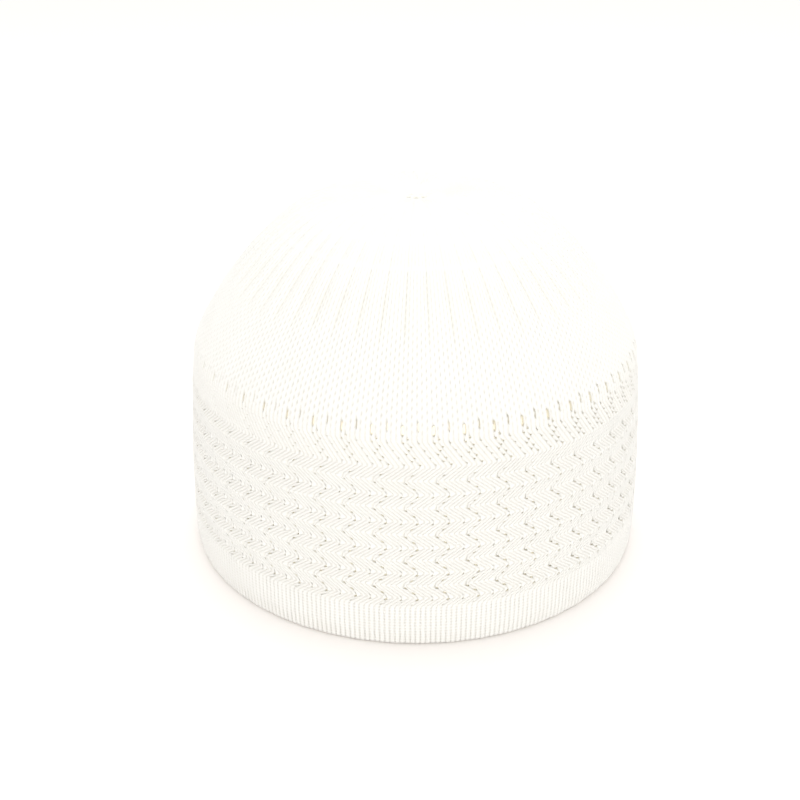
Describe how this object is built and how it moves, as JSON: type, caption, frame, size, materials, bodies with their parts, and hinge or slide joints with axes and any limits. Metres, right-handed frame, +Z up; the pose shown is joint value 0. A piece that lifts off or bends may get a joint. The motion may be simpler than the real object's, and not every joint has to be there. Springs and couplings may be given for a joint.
{
  "type": "knitted prayer cap",
  "caption": "Close-fitting knitted cotton cap with a folded hem, a zigzag lace band and a ribbed crown drawn together at the top.",
  "frame": {"origin": "centre of the circle that the rim stands on, at the level of the floor", "axes": "+Z up along the axis of the cap, from the rim to the drawn middle of the crown; -Y is the front, the side that faces the viewer, and +X is to the right; the cap is round, so front only names a side"},
  "size_m": [0.1784, 0.1784, 0.138],
  "materials": {
    "hem_knit": "plain knitted cream-white cotton, folded double",
    "lace_knit": "open zigzag lace knitted from cream-white cotton",
    "crown_knit": "ribbed knitted cream-white cotton",
    "gather_yarn": "knotted cream-white cotton yarn"
  },
  "bodies": {
    "root": {"hem_band": "hem_knit", "lace_band": "lace_knit", "crown": "crown_knit", "gather_knot": "gather_yarn"}
  },
  "joints": []
}
